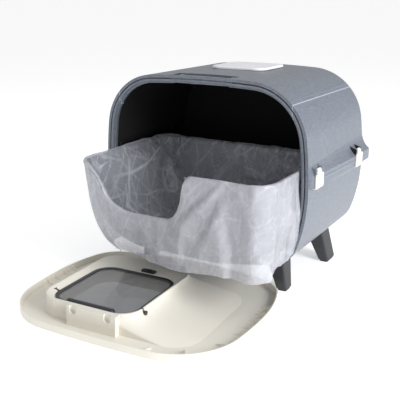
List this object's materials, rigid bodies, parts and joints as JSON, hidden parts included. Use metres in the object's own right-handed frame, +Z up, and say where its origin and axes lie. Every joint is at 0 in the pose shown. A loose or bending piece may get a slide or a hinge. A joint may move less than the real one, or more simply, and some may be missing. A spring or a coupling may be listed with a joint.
{
  "type": "hooded cat litter box",
  "caption": "Hooded cat litter box on splayed legs, with a lined pull-out tray, clip-on hood, roof filter vent, carry handle and a lift-off front cover with a see-through entry flap.",
  "frame": {"origin": "middle of the whole set's footprint at floor level: the box on its feet with the tray drawn out, and the cover lying in front", "axes": "+Z up, -Y the way the box faces and the tray slides out, +X to the right seen from the front"},
  "size_m": [0.6288, 0.7796, 0.5224],
  "materials": {
    "shell_plastic": "linen-textured slate grey polypropylene, satin",
    "tray_plastic": "smooth slate grey polypropylene, satin",
    "cream_plastic": "warm cream polypropylene, satin",
    "liner_film": "thin translucent white film, wrinkled",
    "smoked_pane": "smoked clear plastic, polished",
    "dark_plastic": "charcoal moulded plastic",
    "white_plastic": "white moulded plastic, satin",
    "steel": "plain steel",
    "rubber_pad": "black rubber",
    "carbon_pad": "black carbon-loaded felt"
  },
  "bodies": {
    "box": {"hood_shell": "shell_plastic", "base_shell": "shell_plastic", "leg_front_left": "dark_plastic", "leg_front_right": "dark_plastic", "leg_rear_left": "dark_plastic", "leg_rear_right": "dark_plastic", "foot_pads": "rubber_pad", "leg_screws": "steel", "latch_pins": "steel", "handle_pins": "steel", "carbon_filter": "carbon_pad"},
    "tray": {"litter_tray": "tray_plastic", "tray_liner": "liner_film"},
    "cover": {"front_cover": "cream_plastic"},
    "flap": {"flap_frame": "dark_plastic", "flap_pane": "smoked_pane", "flap_pins": "dark_plastic"},
    "flap_lock": {"flap_lock": "dark_plastic"},
    "latch_front_left": {"latch_front_left": "cream_plastic"},
    "latch_front_right": {"latch_front_right": "cream_plastic"},
    "latch_rear_left": {"latch_rear_left": "cream_plastic"},
    "latch_rear_right": {"latch_rear_right": "cream_plastic"},
    "handle": {"carry_handle": "shell_plastic"},
    "filter_lid": {"filter_cover": "white_plastic"}
  },
  "joints": [
    {"name": "tray_slide", "type": "slide", "parent": "box", "child": "tray", "axis": [0, -1, 0], "range_m": [-0.155, 0.245]},
    {"name": "cover_slide", "type": "slide", "parent": "box", "child": "cover", "axis": [0, -1, 0], "range_m": [0, 0.3]},
    {"name": "flap_hinge", "type": "hinge", "parent": "cover", "child": "flap", "pos_m": [-0.07977, -0.2791, 0.039], "axis": [0.9986, 0.0523, 0], "range_deg": [0, 60]},
    {"name": "flap_lock_slide", "type": "slide", "parent": "cover", "child": "flap_lock", "axis": [0.0523, -0.9986, 0], "range_m": [0, 0.006]},
    {"name": "handle_hinge", "type": "hinge", "parent": "box", "child": "handle", "pos_m": [0.01282, 0.04277, 0.508], "axis": [-1, 0, 0], "range_deg": [0, 90]},
    {"name": "filter_lid_lift", "type": "slide", "parent": "box", "child": "filter_lid", "axis": [0, 0, 1], "range_m": [0, 0.05]},
    {"name": "latch_front_left_hinge", "type": "hinge", "parent": "box", "child": "latch_front_left", "pos_m": [-0.27168, 0.04577, 0.32], "axis": [0, 1, 0], "range_deg": [0, 75]},
    {"name": "latch_front_right_hinge", "type": "hinge", "parent": "box", "child": "latch_front_right", "pos_m": [0.29732, 0.04577, 0.32], "axis": [0, -1, 0], "range_deg": [0, 75]},
    {"name": "latch_rear_left_hinge", "type": "hinge", "parent": "box", "child": "latch_rear_left", "pos_m": [-0.28168, 0.29377, 0.32], "axis": [0, 1, 0], "range_deg": [0, 75]},
    {"name": "latch_rear_right_hinge", "type": "hinge", "parent": "box", "child": "latch_rear_right", "pos_m": [0.30732, 0.29377, 0.32], "axis": [0, -1, 0], "range_deg": [0, 75]}
  ]
}
